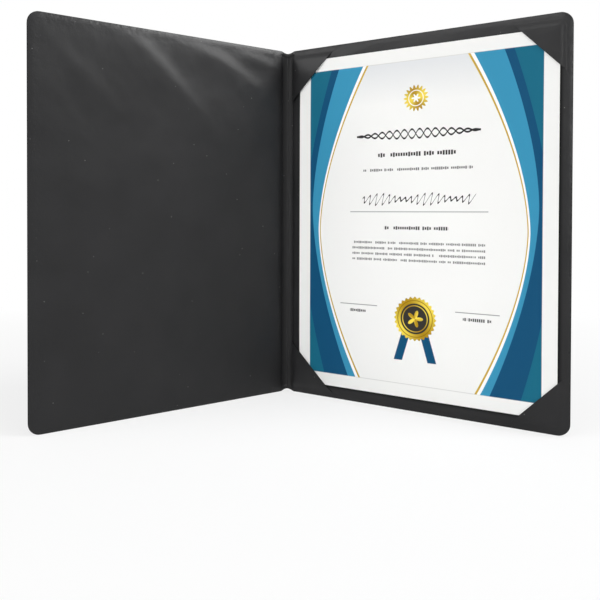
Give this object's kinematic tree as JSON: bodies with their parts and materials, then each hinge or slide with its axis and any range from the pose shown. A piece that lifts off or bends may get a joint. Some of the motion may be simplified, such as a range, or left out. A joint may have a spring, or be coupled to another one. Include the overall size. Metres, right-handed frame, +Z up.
{
  "type": "certificate holder",
  "caption": "Padded book-style certificate holder standing open, with leatherette covers hinged on a soft spine and corner pockets that hold a letter-size sheet.",
  "frame": {"origin": "on the surface that the holder stands on, in the middle of its width and of its depth", "axes": "+X from the front cover to the back cover, +Y from the opening of the V towards the spine, +Z up"},
  "size_m": [0.3844, 0.1417, 0.301],
  "materials": {
    "leatherette": "satin black grained leatherette",
    "liner": "satin black smooth leatherette",
    "foam": "soft pale foam",
    "board": "matt greyboard",
    "sheet": "matt white card"
  },
  "bodies": {
    "back_cover": {"back_outer_vinyl": "leatherette", "back_foam_pad": "foam", "back_board": "board", "back_inner_liner": "liner", "pocket_top_outer": "liner", "pocket_bottom_outer": "liner", "pocket_top_spine": "liner", "pocket_bottom_spine": "liner", "certificate_sheet": "sheet"},
    "spine": {"spine_outer_vinyl": "leatherette", "spine_inner_liner": "liner", "back_fold_outer": "leatherette", "back_fold_inner": "liner", "front_fold_outer": "leatherette", "front_fold_inner": "liner"},
    "front_cover": {"front_outer_vinyl": "leatherette", "front_foam_pad": "foam", "front_board": "board", "front_inner_liner": "liner"}
  },
  "joints": [
    {"name": "back_fold", "type": "hinge", "parent": "back_cover", "child": "spine", "pos_m": [0.0038, 0.06982, 0.1505], "axis": [0, 0, 1], "range_deg": [-36.6, 53.4], "deforming": ["back_fold_outer", "back_fold_inner"]},
    {"name": "front_fold", "type": "hinge", "parent": "spine", "child": "front_cover", "pos_m": [-0.0038, 0.06982, 0.1505], "axis": [0, 0, 1], "range_deg": [-36.6, 53.4], "deforming": ["front_fold_outer", "front_fold_inner"]}
  ]
}
